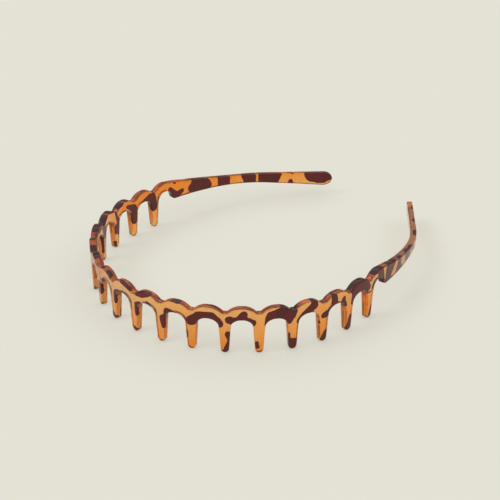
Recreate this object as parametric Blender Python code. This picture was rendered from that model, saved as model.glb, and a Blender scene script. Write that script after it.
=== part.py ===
"""Comb headband, lying on the tips of its teeth.

The real band is one injection moulding: a strip with a scalloped upper edge and seventeen comb
teeth, bent into a horseshoe. Here its outline is drawn flat, with s along the band from the crown
and z up from the tooth tips. The flat band is cut into four stretches, and each stretch is bent
round the plan of the band. The crown faces -Y and the open end faces +Y.
"""

import math

import bmesh
import bpy
from mathutils import Vector

MM = 0.001

# Section and comb
THICKNESS = 3.0 * MM
ARM_TIP_THICKNESS = 2.3 * MM
PITCH = 12.0 * MM
ARCHES_EACH_SIDE = 8
SCALLOP_TOP = 18.1 * MM
NOTCH_TOP = 15.4 * MM
ARCH_TOP = 13.4 * MM
ARCH_SPRING = 10.4 * MM
TOOTH_ROOT_WIDTH = 4.2 * MM
TOOTH_TIP_WIDTH = 2.8 * MM
TOOTH_TIP_FLAT = 1.0 * MM
TOOTH_TIP_RISE = 1.4 * MM

# End of the comb: a last, smaller arch whose far side runs down into the heel of the arm
END_ARCH_CENTRE = 101.8 * MM
END_ARCH_TOP = 14.2 * MM
END_ARCH_STOP = 12.0
HEEL_RUN = 2.9 * MM
END_SCALLOP_RUN = 5.6 * MM

# Arm: distance along the band, height of its upper edge, height of its lower edge
ARM_STATIONS = (
    (112.0 * MM, 16.5 * MM, 9.6 * MM),
    (126.0 * MM, 14.0 * MM, 9.6 * MM),
    (139.0 * MM, 12.6 * MM, 9.0 * MM),
    (156.0 * MM, 11.8 * MM, 7.5 * MM),
    (176.8 * MM, 10.7 * MM, 4.7 * MM),
)
ARM_TIP_ROUND = 4.0 * MM

# Plan of half the band, from the crown to the tip: length of each arc, and how far it turns
PLAN_ARCS = (
    (38.0 * MM, 37.0),
    (44.0 * MM, 48.5),
    (54.0 * MM, 27.8),
    (15.0 * MM, 15.5),
    (29.8 * MM, 0.0),
)
FACET = PITCH / 4

# Where the stretches meet, and the crown flexure: the left half ends in a round nose about the
# flexure's axis, and the right half starts a gap away from it, which leaves it free to swing.
GAP = 0.3 * MM
ARM_STARTS = END_ARCH_CENTRE
FLEX_AT = PITCH / 2
NOSE = THICKNESS / 2
NOSE_STEPS = 4
NOSE_END = FLEX_AT + 0.98 * NOSE
STRETCHES = {
    "left_arm": (None, -ARM_STARTS - GAP / 2),
    "left_comb": (-ARM_STARTS + GAP / 2, NOSE_END),
    "right_comb": (FLEX_AT + NOSE + GAP, ARM_STARTS - GAP / 2),
    "right_arm": (ARM_STARTS + GAP / 2, None),
}

ARC_STEPS = 5
ARM_STEPS = 4
AMBER = (0.60, 0.22, 0.05, 1.0)
AMBER_ROUGHNESS = 0.15


def elliptical_arc(centre, radii, start, end, steps=ARC_STEPS):
    """Points of an arc from start to end, in degrees from the +s direction."""
    angles = [math.radians(start + (end - start) * i / steps) for i in range(steps + 1)]
    return [(centre[0] + radii[0] * math.cos(a), centre[1] + radii[1] * math.sin(a)) for a in angles]


def spline(points, steps=ARM_STEPS):
    """A smooth line through points, with steps segments between each two."""
    ends = [points[0], *points, points[-1]]
    line = [points[0]]
    for before, start, end, after in zip(ends, ends[1:], ends[2:], ends[3:], strict=False):
        for step in range(1, steps + 1):
            t = step / steps
            line.append(
                tuple(
                    b
                    + t * (c - a) / 2
                    + t * t * (2 * a - 5 * b + 4 * c - d) / 2
                    + t**3 * (3 * b - 3 * c + d - a) / 2
                    for a, b, c, d in zip(before, start, end, after, strict=True)
                )
            )
    return line


def tooth_side(centre):
    """The far side of a tooth, from the middle of its tip up to the spring of the next arch."""
    corner = (TOOTH_TIP_WIDTH - TOOTH_TIP_FLAT) / 2
    tip = elliptical_arc(
        (centre + TOOTH_TIP_FLAT / 2, TOOTH_TIP_RISE), (corner, TOOTH_TIP_RISE), -90, 0
    )
    return [*tip, (centre + TOOTH_ROOT_WIDTH / 2, ARCH_SPRING)]


def arch_side(centre):
    """Half an arch, from its spring beside the tooth at centre up to its crown."""
    half_span = (PITCH - TOOTH_ROOT_WIDTH) / 2
    arch = elliptical_arc(
        (centre + PITCH / 2, ARCH_SPRING), (half_span, ARCH_TOP - ARCH_SPRING), 180, 90
    )
    return arch[1:]


def mirrored(points, about):
    """The same points on the other side of about, in reverse order."""
    return [(2 * about - s, z) for s, z in reversed(points)]


def scallop(centre, run=PITCH / 2):
    """Half a scallop of the upper edge, from its top at centre + run down to the notch at centre."""
    rise = SCALLOP_TOP - NOTCH_TOP
    radius = (run**2 + rise**2) / (2 * rise)
    reach = math.degrees(math.asin(run / radius))
    return elliptical_arc(
        (centre + run, SCALLOP_TOP - radius), (radius, radius), 90, 90 + reach
    )


def lower_edge():
    """The lower edge of half the band, from the crown tooth's tip to the arm's tip."""
    edge = []
    for arch in range(ARCHES_EACH_SIDE):
        half = tooth_side(arch * PITCH) + arch_side(arch * PITCH)
        edge += half + mirrored(half, (arch + 0.5) * PITCH)[1:]
    edge += tooth_side(ARCHES_EACH_SIDE * PITCH)
    radii = (END_ARCH_CENTRE - edge[-1][0], END_ARCH_TOP - ARCH_SPRING)
    edge += elliptical_arc(
        (END_ARCH_CENTRE, ARCH_SPRING), radii, 180, END_ARCH_STOP, 2 * ARC_STEPS
    )[1:]
    heel_s, heel_z = edge[-1]
    heel_drop = heel_z - ARM_STATIONS[0][2]
    edge += elliptical_arc((heel_s + HEEL_RUN, heel_z), (HEEL_RUN, heel_drop), 180, 270)[1:]
    return edge + spline([(s, low) for s, _, low in ARM_STATIONS])


def upper_edge():
    """The upper edge of half the band, from the arm's tip back to the notch over the crown tooth."""
    last_notch = ARCHES_EACH_SIDE * PITCH
    end_scallop = scallop(last_notch, END_SCALLOP_RUN)
    edge = spline([end_scallop[0], *[(s, high) for s, high, _ in ARM_STATIONS]])[::-1]
    edge += end_scallop[1:]
    for arch in reversed(range(ARCHES_EACH_SIDE)):
        half = scallop(arch * PITCH)
        edge += mirrored(half, (arch + 0.5) * PITCH)[1:] + half[1:]
    return edge


def arm_tip():
    """The rounded tip of the arm, from its lower edge to its upper edge."""
    s, high, low = ARM_STATIONS[-1]
    tip = elliptical_arc(
        (s, (high + low) / 2), (ARM_TIP_ROUND, (high - low) / 2), -90, 90, 2 * ARC_STEPS
    )
    return tip[1:-1]


def flat_band():
    """The whole band, flat: s along X, z along Y and the thickness along Z, as a bmesh."""
    half = lower_edge() + arm_tip() + upper_edge()
    outline = half + mirrored(half, 0)[1:]
    curve = bpy.data.curves.new("band_outline", "CURVE")
    curve.dimensions = "2D"
    curve.fill_mode = "BOTH"
    curve.extrude = THICKNESS / 2
    line = curve.splines.new("POLY")
    line.points.add(len(outline) - 1)
    for point, (s, z) in zip(line.points, outline, strict=True):
        point.co = (s, z, 0, 1)
    line.use_cyclic_u = True
    holder = bpy.data.objects.new("band_outline", curve)
    bpy.context.scene.collection.objects.link(holder)
    evaluated = holder.evaluated_get(bpy.context.evaluated_depsgraph_get())
    mesh = bpy.data.meshes.new_from_object(evaluated)
    band = bmesh.new()
    band.from_mesh(mesh)
    bmesh.ops.remove_doubles(band, verts=band.verts, dist=0.01 * MM)
    bmesh.ops.dissolve_limit(
        band, angle_limit=math.radians(0.1), verts=band.verts, edges=band.edges
    )
    bmesh.ops.recalc_face_normals(band, faces=band.faces)
    bpy.data.objects.remove(holder)
    bpy.data.meshes.remove(mesh)
    return band


def cut(shape, at, side=0):
    """Cuts a flat shape across at s. With side +1 or -1 it also removes that side and closes the cut."""
    done = bmesh.ops.bisect_plane(
        shape,
        geom=[*shape.verts, *shape.edges, *shape.faces],
        dist=0.001 * MM,
        plane_co=(at, 0, 0),
        plane_no=(side or 1, 0, 0),
        clear_outer=side != 0,
    )
    if side:
        edges = [item for item in done["geom_cut"] if isinstance(item, bmesh.types.BMEdge)]
        bmesh.ops.holes_fill(shape, edges=edges, sides=0)


def round_nose(shape):
    """Rounds the end of a flat shape, past the flexure's axis, into a half circle seen from above."""
    for step in range(NOSE_STEPS):
        cut(shape, FLEX_AT + NOSE * math.sin(math.pi / 2 * step / NOSE_STEPS))
    for vert in shape.verts:
        past = (vert.co.x - FLEX_AT) / NOSE
        if past > 0:
            vert.co.z *= math.sqrt(1 - past**2)


def plan_stations():
    """The bent band's centre line every FACET or so: distance from the crown, place and heading."""
    distance, place, heading = 0.0, Vector((0, 0)), 0.0
    stations = [(distance, place.copy(), heading)]
    for length, turn in PLAN_ARCS:
        steps = round(length / FACET)
        step, bend = length / steps, math.radians(turn) / steps
        chord = step * (math.sin(bend / 2) / (bend / 2) if bend else 1)
        for _ in range(steps):
            middle = heading + bend / 2
            place += chord * Vector((math.cos(middle), math.sin(middle)))
            heading += bend
            distance += step
            stations.append((distance, place.copy(), heading))
    return stations


def slimming(distance):
    """How much the thickness has tapered at this distance: only the arms get thinner."""
    tip = ARM_STATIONS[-1][0] + ARM_TIP_ROUND
    along_arm = max(0, (distance - ARM_STARTS) / (tip - ARM_STARTS))
    return 1 - along_arm * (1 - ARM_TIP_THICKNESS / THICKNESS)


def bent(s, outwards, stations):
    """Where a point of the flat band comes to lie. Between two stations the band stays flat."""
    reach = abs(s)
    after = next((i for i, (end, _, _) in enumerate(stations) if end > reach), -1)
    ends = []
    for distance, place, heading in (stations[after - 1], stations[after]):
        offset = outwards * slimming(distance)
        ends.append(place + offset * Vector((math.sin(heading), -math.cos(heading))))
    start, end = stations[after - 1][0], stations[after][0]
    at = ends[0].lerp(ends[1], (reach - start) / (end - start))
    return Vector((math.copysign(at.x, s), at.y))


def amber(name):
    """Clear amber plastic, glossy."""
    material = bpy.data.materials.new(name + "_plastic")
    material.use_nodes = True
    surface = material.node_tree.nodes["Principled BSDF"]
    surface.inputs["Base Color"].default_value = AMBER
    surface.inputs["Roughness"].default_value = AMBER_ROUGHNESS
    surface.inputs["Metallic"].default_value = 0.0
    return material


def stretch(whole, start, end, stations):
    """The band from start to end, bent, as a bmesh. Where it ends at the flexure, its end is round."""
    shape = whole.copy()
    if start is not None:
        cut(shape, start, -1)
    if end is not None:
        cut(shape, end, 1)
    if end == NOSE_END:
        round_nose(shape)
    for distance, _, _ in stations[:-1]:
        cut(shape, distance)
        cut(shape, -distance)
    for vert in shape.verts:
        s, z, outwards = vert.co
        vert.co = (*bent(s, outwards, stations), z)
    bmesh.ops.recalc_face_normals(shape, faces=shape.faces)
    if shape.calc_volume(signed=True) < 0:
        bmesh.ops.reverse_faces(shape, faces=shape.faces)
    return shape


def main():
    for old in list(bpy.data.objects):
        bpy.data.objects.remove(old)
    collection = bpy.data.collections.new("comb_headband")
    bpy.context.scene.collection.children.link(collection)

    whole, stations = flat_band(), plan_stations()
    shapes = {name: stretch(whole, *limits, stations) for name, limits in STRETCHES.items()}
    ys = [vert.co.y for shape in shapes.values() for vert in shape.verts]
    middle = Vector((0, (min(ys) + max(ys)) / 2, 0))

    flexure = bpy.data.objects.new("crown_flexure", None)
    flexure.location = bent(FLEX_AT, 0, stations).to_3d() - middle
    collection.objects.link(flexure)

    for name, shape in shapes.items():
        swings = name.startswith("right")
        origin = flexure.location if swings else Vector((0, 0, 0))
        bmesh.ops.translate(shape, vec=-middle - origin, verts=shape.verts)
        mesh = bpy.data.meshes.new(name)
        shape.to_mesh(mesh)
        mesh.materials.append(amber(name))
        part = bpy.data.objects.new(name, mesh)
        part.parent = flexure if swings else None
        collection.objects.link(part)


main()
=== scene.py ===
import math

import bmesh
import bpy
from mathutils import Matrix, Vector


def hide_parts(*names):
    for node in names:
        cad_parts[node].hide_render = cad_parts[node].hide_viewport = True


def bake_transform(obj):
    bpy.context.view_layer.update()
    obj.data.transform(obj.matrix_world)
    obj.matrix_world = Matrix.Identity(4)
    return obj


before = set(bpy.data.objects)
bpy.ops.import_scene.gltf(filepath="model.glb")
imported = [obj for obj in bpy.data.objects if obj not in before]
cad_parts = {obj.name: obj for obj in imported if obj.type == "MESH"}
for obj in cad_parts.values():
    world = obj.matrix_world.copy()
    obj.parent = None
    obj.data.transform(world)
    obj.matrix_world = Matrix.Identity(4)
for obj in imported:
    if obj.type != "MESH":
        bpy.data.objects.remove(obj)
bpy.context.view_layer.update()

# Camera: a short telephoto, in front of the band and to its right, looking down at it.
camera_data = bpy.data.cameras.new("camera")
camera_data.sensor_width = 36.0
camera_data.lens = 95.2
camera_data.clip_start = 0.01
camera = bpy.data.objects.new("camera", camera_data)
bpy.context.scene.collection.objects.link(camera)
camera.location = (0.3072, -0.3480, 0.2490)
looks_at = Vector((-0.0112, 0.0052, 0.0001))
camera.rotation_euler = (looks_at - camera.location).to_track_quat("-Z", "Y").to_euler()
bpy.context.scene.camera = camera

# Band: one injection moulding in clear tortoiseshell plastic, comb, heels and arms together, with
# nothing fixed to it. It is drawn flat, with X along the band from the crown tooth, Y up from the
# tips of the teeth and Z outwards, then rounded along its edges and bent round the head.
MM = 0.001
THICKNESS = 3.0 * MM
ARM_TIP_THICKNESS = 2.3 * MM
EDGE_ROUNDING = 0.6 * MM
PITCH = 12.0 * MM
ARCHES_EACH_SIDE = 8
TOOTH_TIP_HALF = 1.4 * MM
TOOTH_TIP_ROUNDING = 1.35 * MM
TOOTH_ROOT_HALF = 2.1 * MM
TOOTH_DRAFT = 0.22
ARCH_SPRING = 10.4 * MM
ARCH_RISE = 3.0 * MM
SCALLOP_TOP = 18.1 * MM
NOTCH_TOP = 15.1 * MM
NOTCH_ROUNDING = 0.15 * MM


def swept_arc(outline, start, centre, degrees, steps, stretch=(1, 1)):
    """Sweeps a vertex round a centre into an arc, stretches the arc, and gives its last vertex."""
    before = set(outline.verts)
    swept = bmesh.ops.spin(
        outline,
        geom=[start],
        cent=(*centre, 0),
        axis=(0, 0, 1),
        angle=math.radians(degrees),
        steps=steps,
    )
    bmesh.ops.scale(
        outline,
        vec=(*stretch, 1),
        space=Matrix.Translation((-centre[0], -centre[1], 0)),
        verts=[vert for vert in outline.verts if vert not in before],
    )
    return swept["geom_last"][0]


def rounded_corner(outline, corner, offset, segments):
    """Rounds one corner of a flat outline."""
    bmesh.ops.bevel(
        outline,
        geom=[corner],
        offset=offset,
        offset_type="OFFSET",
        segments=segments,
        profile=0.5,
        affect="VERTICES",
        material=-1,
    )


def scallop_arc(outline, top, run):
    """Half a scallop of the upper edge, from its top back to the notch beside it."""
    rise = SCALLOP_TOP - NOTCH_TOP
    radius = (run**2 + rise**2) / (2 * rise)
    turn = math.degrees(math.asin(run / radius))
    return swept_arc(outline, top, (top.co.x, SCALLOP_TOP - radius), turn, 6)


def whole(shape):
    """Everything in a shape."""
    return [*shape.verts, *shape.edges, *shape.faces]


def copied(shape, geom):
    """Copies part of a shape, and gives the vertices and the faces of the copy."""
    copy = bmesh.ops.duplicate(shape, geom=geom)["geom"]
    verts = [item for item in copy if isinstance(item, bmesh.types.BMVert)]
    faces = [item for item in copy if isinstance(item, bmesh.types.BMFace)]
    return verts, faces


# Half a bay of the comb: half a tooth, half an arch and half a scallop
band = bmesh.new()
tip_middle = band.verts.new((0, 0, 0))
tip_corner = band.verts.new((TOOTH_TIP_HALF, 0, 0))
spring = band.verts.new((TOOTH_ROOT_HALF, ARCH_SPRING, 0))
arch_half_span = PITCH / 2 - TOOTH_ROOT_HALF
arch_crown = swept_arc(
    band, spring, (PITCH / 2, ARCH_SPRING), -90, 8, (1, ARCH_RISE / arch_half_span)
)
scallop_crown = band.verts.new((PITCH / 2, SCALLOP_TOP, 0))
notch = scallop_arc(band, scallop_crown, PITCH / 2)
band.edges.new((tip_middle, tip_corner))
band.edges.new((tip_corner, spring))
band.edges.new((arch_crown, scallop_crown))
band.edges.new((notch, tip_middle))
bmesh.ops.contextual_create(band, geom=band.edges[:])
rounded_corner(band, tip_corner, TOOTH_TIP_ROUNDING, 4)

# The other half of the bay, and the bays beside it
other_verts, _ = copied(band, whole(band))
bay_middle = Matrix.Translation((-PITCH / 2, 0, 0))
bmesh.ops.scale(band, vec=(-1, 1, 1), space=bay_middle, verts=other_verts)
one_bay = whole(band)
for bay in range(1, ARCHES_EACH_SIDE):
    bay_verts, _ = copied(band, one_bay)
    bmesh.ops.translate(band, vec=(bay * PITCH, 0, 0), verts=bay_verts)

# Heel and arm: the last tooth, a smaller arch, then the strip that tapers to its rounded tip
END_ARCH_CENTRE = 101.8 * MM
END_ARCH_RISE = 3.8 * MM
END_ARCH_TURN = 168
HEEL_HEIGHT = 9.6 * MM
HEEL_ROUNDING = 1.9 * MM
LAST_SCALLOP_RUN = 5.6 * MM
ARM_LOWER = ((126.0, 9.6), (139.0, 9.0), (156.0, 7.5), (176.8, 4.7))
ARM_UPPER = ((156.0, 11.8), (139.0, 12.6), (126.0, 14.0), (112.0, 16.5), (105.9, 17.5))
ARM_TIP_LENGTH = 4.0 * MM
ARM_TIP_HALF_HEIGHT = 3.0 * MM

last_tooth = ARCHES_EACH_SIDE * PITCH
end = bmesh.new()
tip_middle = end.verts.new((last_tooth, 0, 0))
tip_corner = end.verts.new((last_tooth + TOOTH_TIP_HALF, 0, 0))
spring = end.verts.new((last_tooth + TOOTH_ROOT_HALF, ARCH_SPRING, 0))
end.edges.new((tip_middle, tip_corner))
end.edges.new((tip_corner, spring))
end_arch_stretch = (1, END_ARCH_RISE / (END_ARCH_CENTRE - spring.co.x))
corner = swept_arc(
    end, spring, (END_ARCH_CENTRE, ARCH_SPRING), -END_ARCH_TURN, 16, end_arch_stretch
)
heel = end.verts.new((corner.co.x, HEEL_HEIGHT, 0))
end.edges.new((corner, heel))
arm_line = [heel]
for s, z in ARM_LOWER:
    arm_line.append(end.verts.new((s * MM, z * MM, 0)))
    end.edges.new(arm_line[-2:])
tip_centre = (arm_line[-1].co.x, arm_line[-1].co.y + ARM_TIP_HALF_HEIGHT)
tip_stretch = (ARM_TIP_LENGTH / ARM_TIP_HALF_HEIGHT, 1)
tip_top = swept_arc(end, arm_line[-1], tip_centre, 180, 12, tip_stretch)
upper_line = [tip_top]
for s, z in ARM_UPPER:
    upper_line.append(end.verts.new((s * MM, z * MM, 0)))
    end.edges.new(upper_line[-2:])
scallop_crown = end.verts.new((last_tooth + LAST_SCALLOP_RUN, SCALLOP_TOP, 0))
end.edges.new((upper_line[-1], scallop_crown))
notch = scallop_arc(end, scallop_crown, LAST_SCALLOP_RUN)
end.edges.new((notch, tip_middle))
bmesh.ops.contextual_create(end, geom=end.edges[:])
rounded_corner(end, tip_corner, TOOTH_TIP_ROUNDING, 4)
rounded_corner(end, heel, HEEL_ROUNDING, 5)

# The arm's long edges run in one sweep, without corners
LONG_EDGE = 4.0 * MM
ARM_START = 100 * MM
SWEEP_START = 110 * MM
SWEEP_END = 170 * MM
long_edges = []
for edge in end.edges:
    edge_start = min(vert.co.x for vert in edge.verts)
    if edge.calc_length() > LONG_EDGE and edge_start > ARM_START:
        long_edges.append(edge)
cuts = bmesh.ops.subdivide_edges(end, edges=long_edges, cuts=4)
swept_verts = [item for item in cuts["geom_inner"] if isinstance(item, bmesh.types.BMVert)]
for vert in end.verts:
    if SWEEP_START < vert.co.x < SWEEP_END and vert not in swept_verts:
        swept_verts.append(vert)
for _ in range(8):
    bmesh.ops.smooth_vert(end, verts=swept_verts, factor=0.5, use_axis_y=True)

# The arm joins the comb, and the left side mirrors the right
arm_mesh = bpy.data.meshes.new("arm_outline")
end.to_mesh(arm_mesh)
end.free()
band.from_mesh(arm_mesh)
bpy.data.meshes.remove(arm_mesh)
left_verts, _ = copied(band, whole(band))
bmesh.ops.scale(band, vec=(-1, 1, 1), verts=left_verts)
bmesh.ops.remove_doubles(band, verts=band.verts, dist=0.01 * MM)
bmesh.ops.recalc_face_normals(band, faces=band.faces)
seams = [edge for edge in band.edges if len(edge.link_faces) == 2]
bmesh.ops.dissolve_edges(band, edges=seams, use_verts=True)
notches = []
for vert in band.verts:
    bays_along = vert.co.x / PITCH
    over_tooth = abs(bays_along - round(bays_along)) < 0.001
    if over_tooth and abs(vert.co.y - NOTCH_TOP) < 0.01 * MM:
        notches.append(vert)
for vert in notches:
    rounded_corner(band, vert, NOTCH_ROUNDING, 3)

# Thickness, and edges rounded as the mould and the tumbling after it leave them
bmesh.ops.solidify(band, geom=band.faces[:], thickness=THICKNESS)
middle = (max(vert.co.z for vert in band.verts) + min(vert.co.z for vert in band.verts)) / 2
bmesh.ops.translate(band, vec=(0, 0, -middle), verts=band.verts)
bmesh.ops.recalc_face_normals(band, faces=band.faces)
rims = []
for edge in band.edges:
    facing = sorted(abs(face.normal.z) for face in edge.link_faces)
    if facing[0] < 0.5 < facing[-1]:
        rims.append(edge)
bmesh.ops.bevel(
    band,
    geom=rims,
    offset=EDGE_ROUNDING,
    offset_type="OFFSET",
    segments=4,
    profile=0.5,
    affect="EDGES",
    material=-1,
    clamp_overlap=False,
)

# Cuts across and along the strip, so that it can bend and carry its pattern
GRAIN = 0.8 * MM


def cut(shape, place, normal, drop_inner=False):
    """Cuts every face that a plane crosses."""
    bmesh.ops.bisect_plane(
        shape,
        geom=whole(shape),
        dist=0.002 * MM,
        plane_co=place,
        plane_no=normal,
        clear_inner=drop_inner,
    )


cut(band, (0, 0, 0), (1, 0, 0), drop_inner=True)
for row in range(1, math.ceil(SCALLOP_TOP / GRAIN)):
    cut(band, (0, row * GRAIN, 0), (0, 1, 0))
reach = max(vert.co.x for vert in band.verts)
for column in range(1, math.ceil(reach / GRAIN)):
    cut(band, (column * GRAIN, 0, 0), (1, 0, 0))
left_verts, left_faces = copied(band, whole(band))
bmesh.ops.scale(band, vec=(-1, 1, 1), verts=left_verts)
bmesh.ops.reverse_faces(band, faces=left_faces)
bmesh.ops.remove_doubles(band, verts=band.verts, dist=0.004 * MM)

# Dark patches, where dark plastic ran out into the amber. Each is one or more strokes that taper:
# start and end along the band, height and half width there, in millimetres. A patch lies in one half
# of the thickness: the outer half, but the inner half left of INNER_PATCHES_END. It also crosses the
# upper edge, most of all away from the crown.
PATCHES = (
    # Left arm
    ((-106.3, 17.0, 0.3), (-107.0, 16.7, 0.3)),
    ((-104.2, 14.7, 1.0), (-107.3, 11.0, 1.5)),
    ((-105.2, 12.4, 1.1), (-107.0, 10.4, 1.3)),
    ((-110.4, 12.4, 1.0), (-107.5, 11.0, 1.5)),
    ((-117.5, 14.4, 2.2), (-122.6, 12.4, 2.3)),
    ((-115.6, 12.2, 2.0), (-123.5, 11.6, 2.0)),
    ((-131.5, 16.0, 3.0), (-131.5, 7.0, 2.8)),
    ((-143.2, 13.5, 3.5), (-144.3, 8.0, 2.4)),
    ((-151.2, 13.0, 3.3), (-151.4, 7.0, 3.4)),
    ((-155.6, 13.0, 3.0), (-153.5, 8.0, 2.9)),
    ((-162.9, 11.6, 0.5), (-163.2, 11.6, 0.4)),
    ((-162.2, 8.0, 0.9), (-162.2, 6.6, 1.2)),
    ((-172.4, 10.8, 4.1), (-178.6, 9.8, 3.0)),
    ((-175.0, 9.4, 3.4), (-176.5, 9.2, 3.3)),
    # Comb, left of the crown tooth
    ((-85.0, 18.4, 1.0), (-79.0, 18.6, 1.0)),
    ((-76.0, 17.8, 1.0), (-73.0, 17.6, 1.2)),
    ((-71.0, 17.4, 1.0), (-66.0, 18.8, 1.2)),
    ((-63.0, 17.6, 1.0), (-60.5, 16.6, 1.2)),
    ((-88.4, 13.8, 0.5), (-93.0, 14.8, 1.5)),
    ((-94.2, 14.2, 2.0), (-95.2, 9.4, 1.7)),
    ((-79.4, 15.2, 0.7), (-83.4, 13.2, 1.7)),
    ((-83.6, 12.8, 1.7), (-83.8, 7.4, 1.6)),
    ((-71.2, 15.6, 0.7), (-73.0, 10.5, 1.0)),
    ((-72.8, 10.4, 1.3), (-72.9, 6.6, 1.1)),
    ((-71.0, 10.0, 0.9), (-71.0, 7.0, 0.7)),
    ((-70.6, 2.8, 0.6), (-70.8, 1.6, 0.6)),
    ((-59.0, 15.6, 2.2), (-60.5, 11.5, 1.8)),
    ((-58.5, 11.0, 0.8), (-58.8, 4.0, 0.5)),
    ((-61.0, 1.4, 0.6), (-60.6, 0.4, 0.7)),
    ((-52.0, 17.0, 1.6), (-56.5, 17.0, 1.4)),
    ((-45.0, 17.2, 1.4), (-43.0, 17.4, 1.0)),
    ((-48.6, 9.0, 1.2), (-47.6, 5.8, 1.4)),
    ((-38.0, 16.6, 1.0), (-34.0, 16.8, 0.7)),
    ((-31.5, 17.6, 0.7), (-28.0, 17.6, 0.6)),
    ((-36.8, 0.8, 0.9), (-35.2, 0.4, 0.8)),
    ((-23.4, 9.2, 1.5), (-23.4, 6.4, 1.6)),
    ((-23.4, 0.5, 0.5), (-22.8, 0.4, 0.5)),
    ((-21.8, 17.2, 0.5), (-19.0, 17.9, 0.4)),
    ((-16.0, 17.7, 0.4), (-13.6, 17.0, 0.6)),
    ((-10.6, 11.6, 0.7), (-10.7, 7.8, 0.7)),
    ((-10.4, 12.4, 0.6), (-8.4, 13.5, 0.4)),
    ((-12.6, 1.9, 1.0), (-11.2, 0.8, 1.1)),
    ((-8.4, 13.6, 0.3), (-4.4, 13.4, 0.8)),
    ((-4.6, 13.2, 1.2), (-2.9, 10.2, 1.2)),
    ((-6.5, 18.0, 0.5), (-1.5, 16.6, 0.5)),
    # Comb, right of the crown tooth
    ((1.3, 11.8, 0.6), (1.5, 7.8, 0.7)),
    ((1.5, 12.2, 0.6), (3.4, 13.3, 0.4)),
    ((0.2, 1.5, 0.7), (1.2, 0.7, 0.8)),
    ((1.6, 16.2, 0.7), (4.2, 16.8, 1.3)),
    ((4.2, 16.8, 1.3), (7.4, 18.0, 0.9)),
    ((6.6, 14.6, 0.5), (7.6, 13.6, 0.9)),
    ((13.1, 10.3, 1.1), (13.4, 6.8, 0.8)),
    ((14.2, 11.0, 0.5), (14.8, 13.8, 0.9)),
    ((15.0, 13.9, 0.9), (16.8, 14.1, 0.5)),
    ((16.8, 13.8, 0.5), (18.8, 13.6, 0.2)),
    ((16.4, 18.2, 0.4), (19.6, 18.0, 0.4)),
    ((22.3, 7.4, 0.6), (22.5, 5.0, 0.5)),
    ((24.1, 11.8, 1.8), (27.0, 13.9, 1.8)),
    ((27.0, 14.1, 1.8), (31.4, 14.5, 1.8)),
    ((31.4, 14.4, 1.8), (33.6, 12.6, 1.6)),
    ((33.4, 12.8, 1.7), (34.2, 11.8, 1.4)),
    ((37.1, 8.1, 0.9), (37.3, 6.8, 0.8)),
    ((37.5, 6.4, 0.5), (37.4, 4.0, 0.5)),
    ((37.3, 4.2, 0.5), (36.8, 1.6, 1.1)),
    ((35.0, 0.8, 0.4), (37.0, 0.4, 0.7)),
    ((37.7, 13.7, 1.4), (39.3, 12.9, 1.4)),
    ((39.3, 14.0, 0.7), (44.6, 13.9, 0.6)),
    ((42.7, 16.1, 1.2), (42.1, 14.6, 1.8)),
    ((44.8, 13.1, 1.1), (45.6, 12.5, 1.3)),
    ((47.1, 4.3, 0.6), (47.3, 2.4, 0.7)),
    ((50.6, 11.6, 0.9), (51.6, 14.2, 1.6)),
    ((52.2, 14.8, 1.9), (56.2, 15.6, 2.4)),
    ((56.4, 15.4, 2.3), (58.6, 14.8, 2.4)),
    ((58.8, 13.6, 1.6), (58.4, 11.9, 1.0)),
    ((59.0, 16.0, 1.3), (60.6, 15.7, 0.8)),
    ((58.5, 7.0, 0.2), (58.7, 4.4, 0.3)),
    ((59.2, 3.4, 1.2), (60.8, 3.3, 1.2)),
    ((59.6, 1.6, 1.4), (60.4, 1.4, 1.3)),
    ((61.9, 11.2, 0.9), (64.3, 13.8, 1.3)),
    ((64.4, 13.9, 1.2), (67.8, 16.2, 1.5)),
    ((67.8, 16.4, 1.4), (67.8, 18.0, 1.2)),
    ((70.0, 9.0, 0.2), (70.1, 8.0, 0.2)),
    ((71.7, 10.9, 1.1), (73.2, 11.3, 1.3)),
    ((73.6, 11.4, 0.8), (76.2, 13.9, 0.5)),
    ((73.0, 4.0, 0.9), (72.0, 1.4, 1.3)),
    ((76.3, 16.6, 1.3), (76.4, 14.3, 1.5)),
    ((80.8, 14.9, 0.7), (80.5, 13.8, 1.1)),
    ((81.2, 13.0, 0.7), (82.0, 11.3, 0.4)),
    ((84.6, 6.0, 0.7), (84.2, 3.0, 1.2)),
    ((84.2, 3.0, 1.2), (83.8, 1.1, 1.3)),
    ((85.5, 11.2, 1.0), (87.0, 14.5, 2.0)),
    ((87.0, 16.2, 2.6), (92.0, 16.4, 2.8)),
    ((92.4, 15.6, 2.2), (94.3, 13.6, 1.5)),
    ((94.2, 11.6, 0.4), (96.2, 11.0, 0.3)),
    ((97.0, 4.6, 0.7), (96.5, 1.3, 1.1)),
    # Right arm
    ((98.6, 17.9, 1.0), (103.0, 17.6, 1.3)),
    ((98.2, 11.4, 0.4), (100.6, 14.4, 0.6)),
    ((102.6, 15.8, 2.0), (103.6, 10.6, 1.9)),
    ((108.8, 15.0, 2.5), (108.2, 10.4, 2.3)),
    ((110.0, 14.4, 2.4), (113.0, 16.2, 1.6)),
    ((118.8, 15.4, 1.6), (115.8, 9.4, 1.8)),
    ((117.6, 12.0, 1.9), (119.6, 10.2, 1.4)),
    ((127.0, 13.6, 2.3), (126.6, 9.6, 2.9)),
    ((129.0, 12.4, 1.6), (133.0, 12.8, 1.0)),
    ((136.0, 10.8, 1.4), (138.0, 10.0, 1.4)),
    ((146.0, 12.6, 2.2), (148.5, 8.0, 2.6)),
    ((158.0, 11.4, 1.2), (160.0, 10.4, 1.3)),
    ((171.0, 9.6, 2.0), (173.4, 8.6, 2.2)),
    ((180.6, 9.0, 1.8), (181.5, 7.0, 1.8)),
)
INNER_PATCHES_END = -50.0
PATCH_REACH = 0.15
NO_PATCH = -2.0


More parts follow.
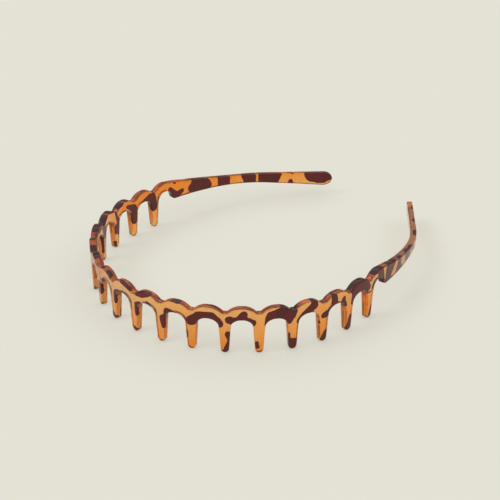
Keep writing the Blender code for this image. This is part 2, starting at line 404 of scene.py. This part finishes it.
def share(value, start, finish):
    """How far a value has come from start to finish: 0 before, 1 past it."""
    return max(0.0, min(1.0, (value - start) / (finish - start)))


strip_place = band.verts.layers.float_vector.new("strip_place")
patch_depth = band.verts.layers.float.new("patch_depth")
painted_amber_shading = band.verts.layers.float.new("painted_amber_shading")
painted_rim_mask = band.verts.layers.float.new("painted_rim_mask")
strokes = []
for start, finish in PATCHES:
    strokes.append((Vector(start[:2]), start[2], Vector(finish[:2]), finish[2]))
for vert in band.verts:
    vert[strip_place] = vert.co
    at = Vector((vert.co.x / MM, vert.co.y / MM))
    from_crown = abs(at.x)
    above_teeth = share(at.y, 9, 14)
    on_comb = 1 - share(from_crown, 106, 118)
    from_face = min(1.0, (THICKNESS / 2 - abs(vert.co.z)) / EDGE_ROUNDING)

    # Painted light and shade in the amber: it is deepest low in the comb, as painted shade, and paler
    # up towards the scallops; on its left end and arm it is deepest high up. It deepens on the comb's
    # rims as a painted glow, and pales over the stretch left of the crown as a painted lit side, where
    # those faces turn to the lamp.
    height = at.y / 18
    left_end = share(-at.x, 50, 80)
    # Painted shade: deeper towards the tips of the teeth, and towards the top on the left end and arm
    strength = (1 - left_end) * 1.2 * (1 - height) + left_end * min(1.2, 1.6 * height)
    # Painted light: paler where the faces left of the crown turn to the lamp
    if -80 < at.x < 20:
        strength -= 0.9 * math.sin(math.pi * (20 - at.x) / 100)
    # Painted glow: deeper amber on the comb's rounded edges
    vert[painted_amber_shading] = strength + 0.6 * from_face * on_comb
    # Where the rims take their painted shade and highlights: most on the comb's upper edges
    vert[painted_rim_mask] = from_face * (0.25 + above_teeth * (0.25 + 0.5 * on_comb))

    # How far inside a patch this point is, along the faces and through the thickness
    inside = NO_PATCH
    for start, start_width, finish, finish_width in strokes:
        if min(start.x, finish.x) - 6 < at.x < max(start.x, finish.x) + 6:
            run = finish - start
            along = share((at - start).dot(run), 0, run.length_squared)
            half_width = start_width + along * (finish_width - start_width)
            inside = max(inside, half_width - (at - start - along * run).length)
    patch_side = -1 if at.x < INNER_PATCHES_END else 1
    across_rim = 1.7 * from_face * above_teeth * on_comb * min(1.0, from_crown / 60)
    vert[patch_depth] = min(inside, PATCH_REACH + patch_side * vert.co.z / MM + across_rim)

# Bent round the plan of the head: length of each arc from the crown, and how far it turns. The last
# is straight and runs out past the tip.
PLAN_ARCS = ((38.0, 37.0), (44.0, 48.5), (54.0, 27.8), (15.0, 15.5), (30.0, 0.0))


def bent(s, outwards):
    """Where a point of the flat band comes to lie, seen from above."""
    left = abs(s)
    place = Vector((0, 0))
    heading = 0.0
    for length, turn in PLAN_ARCS:
        run = min(left, length * MM)
        half_turn = math.radians(turn) * run / (length * MM) / 2
        chord = run
        if half_turn > 0:
            chord = run * math.sin(half_turn) / half_turn
        place += chord * Vector((math.cos(heading + half_turn), math.sin(heading + half_turn)))
        heading += 2 * half_turn
        left -= run
    place += outwards * Vector((math.sin(heading), -math.cos(heading)))
    return Vector((math.copysign(place.x, s), place.y))


# The teeth are thinner at their tips, so that they leave the mould, and the arms thin out to theirs
for vert in band.verts:
    s, z, outwards = vert.co
    outwards *= 1 - TOOTH_DRAFT * max(0.0, 1 - z / ARCH_SPRING)
    along_arm = share(abs(s), END_ARCH_CENTRE, reach)
    outwards *= 1 - along_arm * (1 - ARM_TIP_THICKNESS / THICKNESS)
    flat = bent(s, outwards)
    vert.co = (flat.x, flat.y, z)
bmesh.ops.recalc_face_normals(band, faces=band.faces)
rear = max(vert.co.y for vert in band.verts)
front = min(vert.co.y for vert in band.verts)
bmesh.ops.translate(band, vec=(0, -(rear + front) / 2, 0), verts=band.verts)
band_mesh = bpy.data.meshes.new("band")
band.to_mesh(band_mesh)
band.free()
band_mesh.polygons.foreach_set("use_smooth", [True] * len(band_mesh.polygons))
band_piece = bpy.data.objects.new("band", band_mesh)
bpy.context.scene.collection.objects.link(band_piece)

# Clear tortoiseshell plastic: polished, and it takes light out as it gets thicker
tortoiseshell = bpy.data.materials.new("tortoiseshell_plastic")
tortoiseshell.use_nodes = True
nodes = tortoiseshell.node_tree.nodes
links = tortoiseshell.node_tree.links
surface = nodes["Principled BSDF"]
surface.inputs["IOR"].default_value = 1.47
surface.inputs["Roughness"].default_value = 0.08
surface.inputs["Specular IOR Level"].default_value = 0.4
depth_of_plastic = nodes.new("ShaderNodeVolumeAbsorption")
depth_of_plastic.inputs["Color"].default_value = (0.985, 0.60, 0.10, 1)
depth_of_plastic.inputs["Density"].default_value = 360.0
links.new(depth_of_plastic.outputs["Volume"], nodes["Material Output"].inputs["Volume"])


def on_band(attribute_name, output="Fac"):
    """One of the values that the band carries at each point."""
    attribute = nodes.new("ShaderNodeAttribute")
    attribute.attribute_name = attribute_name
    return attribute.outputs[output]


def streaks(stretch, scale, detail, distortion=0.0):
    """Soft noise in the flat strip's own directions, drawn out where the stretch is below 1."""
    drawn_out = nodes.new("ShaderNodeMapping")
    drawn_out.inputs["Scale"].default_value = stretch
    links.new(on_band("strip_place", "Vector"), drawn_out.inputs["Vector"])
    noise = nodes.new("ShaderNodeTexNoise")
    noise.inputs["Scale"].default_value = scale
    noise.inputs["Detail"].default_value = detail
    noise.inputs["Distortion"].default_value = distortion
    links.new(drawn_out.outputs["Vector"], noise.inputs["Vector"])
    return noise.outputs["Fac"]


def worked_out(operation, *values):
    """A sum on two or three values, each a socket or a plain number."""
    sum_node = nodes.new("ShaderNodeMath")
    sum_node.operation = operation
    for value, socket in zip(values, sum_node.inputs):
        if isinstance(value, bpy.types.NodeSocket):
            links.new(value, socket)
        else:
            socket.default_value = value
    return sum_node.outputs[0]


def ranged(value, low, high, curve="LINEAR", becomes=(0.0, 1.0)):
    """A value's run from low to high, as a run from 0 to 1 or between two others."""
    map_range = nodes.new("ShaderNodeMapRange")
    map_range.interpolation_type = curve
    map_range.inputs["From Min"].default_value = low
    map_range.inputs["From Max"].default_value = high
    map_range.inputs["To Min"].default_value = becomes[0]
    map_range.inputs["To Max"].default_value = becomes[1]
    links.new(value, map_range.inputs["Value"])
    return map_range.outputs["Result"]


def shades(value, first, last, between=None):
    """Colours along a value, each given with the place where it is pure."""
    ramp = nodes.new("ShaderNodeValToRGB")
    for element, (position, shade) in zip(ramp.color_ramp.elements, (first, last)):
        element.position = position
        element.color = (*shade, 1)
    if between:
        position, shade = between
        ramp.color_ramp.elements.new(position).color = (*shade, 1)
    links.new(value, ramp.inputs["Fac"])
    return ramp.outputs["Color"]


def mixed(amount, under, over):
    """One colour over another; the upper one may be plain."""
    mix = nodes.new("ShaderNodeMix")
    mix.data_type = "RGBA"
    links.new(amount, mix.inputs["Factor"])
    links.new(under, mix.inputs["A"])
    if isinstance(over, bpy.types.NodeSocket):
        links.new(over, mix.inputs["B"])
    else:
        mix.inputs["B"].default_value = (*over, 1)
    return mix.outputs["Result"]


# Amber with flow lines, drawn out down the teeth and along the strip, deepened and paled by the
# painted light and shade that the band carries
flow = streaks((1.0, 0.3, 1.0), scale=420.0, detail=4.0, distortion=0.6)
flow_and_painted_shading = worked_out("MULTIPLY_ADD", flow, 0.9, on_band("painted_amber_shading"))
amber = shades(
    ranged(flow_and_painted_shading, 0.0, 1.6),
    first=(0.05, (1.0, 0.90, 0.66)),
    between=(0.32, (1.0, 0.77, 0.40)),
    last=(1.0, (1.0, 0.44, 0.02)),
)

# Rims: painted shade and painted highlights. The rounded edges are coloured a deep red-brown in
# streaks, standing in for the long path of light in at an edge, with bright orange streaks as painted
# highlights, and they are made less clear so that this painted colour shows
rim = on_band("painted_rim_mask")
painted_rim_amount = ranged(rim, 0.02, 0.7, "SMOOTHSTEP")
past_edge = ranged(rim, 0.3, 0.8, "SMOOTHSTEP")
rim_streaks_and_glints = streaks((0.3, 0.6, 2.0), scale=480.0, detail=3.0)
# Painted shade: a dark red-brown line along the edge of each rim; painted highlights: bright orange
# streaks further in
painted_rim_colour = shades(
    worked_out("MULTIPLY", rim_streaks_and_glints, past_edge),
    first=(0.37, (0.15, 0.013, 0.004)),
    last=(0.64, (0.84, 0.17, 0.012)),
)
clear_plastic = mixed(painted_rim_amount, amber, painted_rim_colour)

# Patches with slightly ragged edges: red where they thin out, then a mottled brown, with painted shade
# making them darker on the rims
ragged = streaks((1.0, 1.0, 1.0), scale=700.0, detail=2.0)
ragged_depth = worked_out("MULTIPLY_ADD", ragged, 0.4, on_band("patch_depth"))
darkness = ranged(ragged_depth, 0.0, 0.16, "SMOOTHSTEP")
patch_brown = shades(
    darkness, first=(0.55, (0.30, 0.03, 0.008)), last=(1.0, (0.135, 0.006, 0.005))
)
mottled = mixed(ranged(flow, 0.4, 0.75), patch_brown, (0.075, 0.009, 0.005))
# Painted shade: the patches darken on the rims
dark_plastic = mixed(painted_rim_amount, mottled, (0.04, 0.007, 0.004))
links.new(mixed(darkness, clear_plastic, dark_plastic), surface.inputs["Base Color"])

# Light goes through the amber, less at the rims so that their painted shade shows, and not through
# the patches
clearness = ranged(painted_rim_amount, 0.0, 1.0, becomes=(0.97, 0.38))
uncovered = worked_out("SUBTRACT", 1.0, darkness)
see_through = worked_out("MULTIPLY", clearness, uncovered)
links.new(see_through, surface.inputs["Transmission Weight"])
band_mesh.materials.append(tortoiseshell)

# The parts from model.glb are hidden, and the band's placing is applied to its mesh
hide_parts("left_arm", "left_comb", "right_comb", "right_arm")
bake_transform(band_piece)

# Floor: one wide pale matt sheet, just under the tips of the teeth. It gives off a little light of
# its own, so the shadows on it stay faint.
PALE = (0.387, 0.38, 0.332, 1)
floor_shape = bmesh.new()
bmesh.ops.create_grid(floor_shape, x_segments=1, y_segments=1, size=6.0)
bmesh.ops.translate(floor_shape, vec=(0, 0, -0.05 * MM), verts=floor_shape.verts)
floor_mesh = bpy.data.meshes.new("floor")
floor_shape.to_mesh(floor_mesh)
floor_shape.free()
floor = bpy.data.objects.new("floor", floor_mesh)
bpy.context.scene.collection.objects.link(floor)
pale_floor = bpy.data.materials.new("pale_floor")
pale_floor.use_nodes = True
floor_surface = pale_floor.node_tree.nodes["Principled BSDF"]
floor_surface.inputs["Base Color"].default_value = PALE
floor_surface.inputs["Roughness"].default_value = 1.0
floor_surface.inputs["Specular IOR Level"].default_value = 0.0
floor_surface.inputs["Emission Color"].default_value = PALE
floor_surface.inputs["Emission Strength"].default_value = 1.0
floor_mesh.materials.append(pale_floor)

# Light: a dim even room, a very wide soft light overhead, and one soft lamp high in front on the left.
room = bpy.data.worlds.new("room")
bpy.context.scene.world = room
room.use_nodes = True
room.node_tree.nodes["Background"].inputs["Color"].default_value = (1.0, 1.0, 1.0, 1)
room.node_tree.nodes["Background"].inputs["Strength"].default_value = 0.32
LIGHTS = (
    # Name, where it comes from, how wide it is in degrees, strength
    ("soft_lamp", (-0.5, -0.8, 1.0), 24, 0.45),
    ("ceiling_light", (0.0, 0.0, 1.0), 116, 1.83),
)
for light_name, comes_from, width, strength in LIGHTS:
    light_data = bpy.data.lights.new(light_name, "SUN")
    light_data.angle = math.radians(width)
    light_data.energy = strength
    light = bpy.data.objects.new(light_name, light_data)
    bpy.context.scene.collection.objects.link(light)
    light.location = comes_from
    light.rotation_euler = Vector(comes_from).to_track_quat("Z", "Y").to_euler()
bpy.context.scene.view_settings.view_transform = "Standard"
